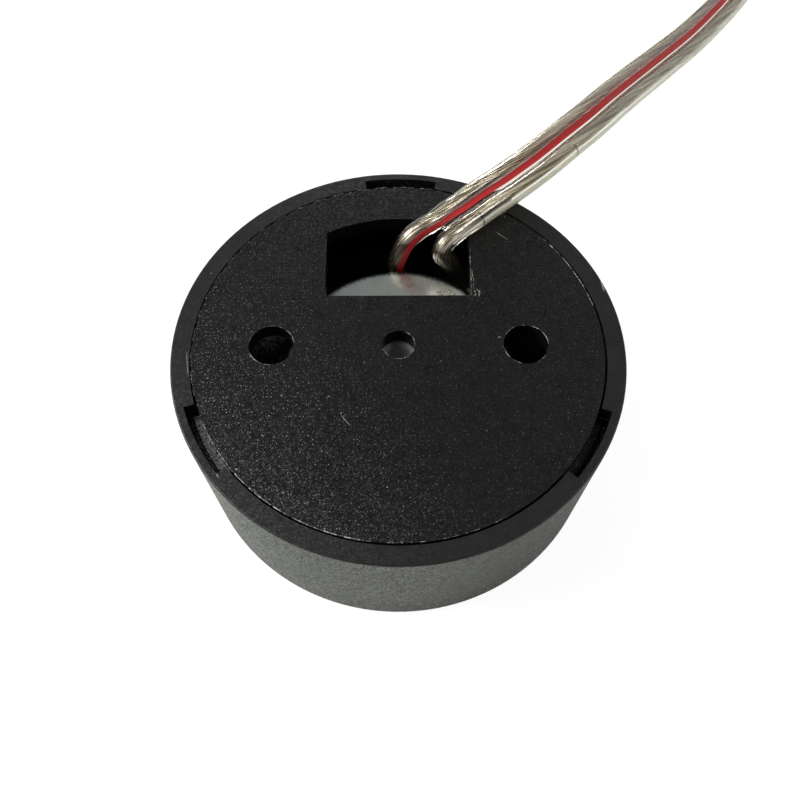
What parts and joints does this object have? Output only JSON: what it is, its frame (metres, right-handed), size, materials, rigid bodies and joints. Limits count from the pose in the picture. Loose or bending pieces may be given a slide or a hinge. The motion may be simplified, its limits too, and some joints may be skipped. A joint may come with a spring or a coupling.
{
  "type": "dome tweeter",
  "caption": "Round surface-mount dome tweeter in a moulded cup with a twist-lock base plate, a perforated front grille and a clear two-core speaker lead.",
  "frame": {"origin": "on the surface that the front rim stands on, on the axis of the cup", "axes": "+Z along the axis of the cup from its front rim to its back rim, +Y from the axis towards the cable window, +X along the row of the screw holes"},
  "size_m": [0.0965, 0.1795, 0.0224],
  "materials": {
    "cup_plastic": "fine spark-eroded black ABS",
    "plate_plastic": "coarser spark-eroded black ABS",
    "front_plastic": "black ABS",
    "grille_steel": "black powder coat",
    "foam": "closed-cell foam",
    "plated_steel": "zinc plated",
    "magnet": "nickel plated",
    "felt": "felt",
    "dome_foil": "formed foil",
    "cloth": "coated cloth",
    "former_film": "polyimide film",
    "copper": "enamelled copper",
    "tinned_brass": "tinned",
    "solder": "bright solder",
    "clear_pvc": "clear PVC over silvery strands, one side with a red stripe",
    "tie_plastic": "plastic-covered tie"
  },
  "bodies": {
    "cup": {"housing": "cup_plastic", "grille": "grille_steel", "bezel": "front_plastic", "face_plate": "front_plastic", "gasket": "foam", "magnet_pot": "plated_steel", "magnet": "magnet", "pole_disc": "plated_steel", "damping_pad": "felt", "surround": "cloth", "tinsel_lead_a": "copper", "tinsel_lead_b": "copper", "tag_a": "tinned_brass", "tag_b": "tinned_brass", "solder_a": "solder", "solder_b": "solder", "core_striped": "clear_pvc", "core_plain": "clear_pvc", "cable": "clear_pvc", "cable_coil": "clear_pvc", "cable_tail": "clear_pvc", "tinned_end_a": "solder", "tinned_end_b": "solder", "coil_tie": "tie_plastic"},
    "plate": {"base_plate": "plate_plastic"},
    "moving_coil": {"dome": "dome_foil", "coil_former": "former_film", "voice_coil": "copper"}
  },
  "joints": [
    {"name": "plate_twist", "type": "hinge", "parent": "cup", "child": "plate", "pos_m": [0, 0, 0.0173], "axis": [0, 0, 1], "range_deg": [-25, 0]},
    {"name": "dome_slide", "type": "slide", "parent": "cup", "child": "moving_coil", "axis": [0, 0, 1], "range_m": [-0.0003, 0.0003], "stiffness_N_per_m": 300, "deforming": ["surround"]}
  ]
}
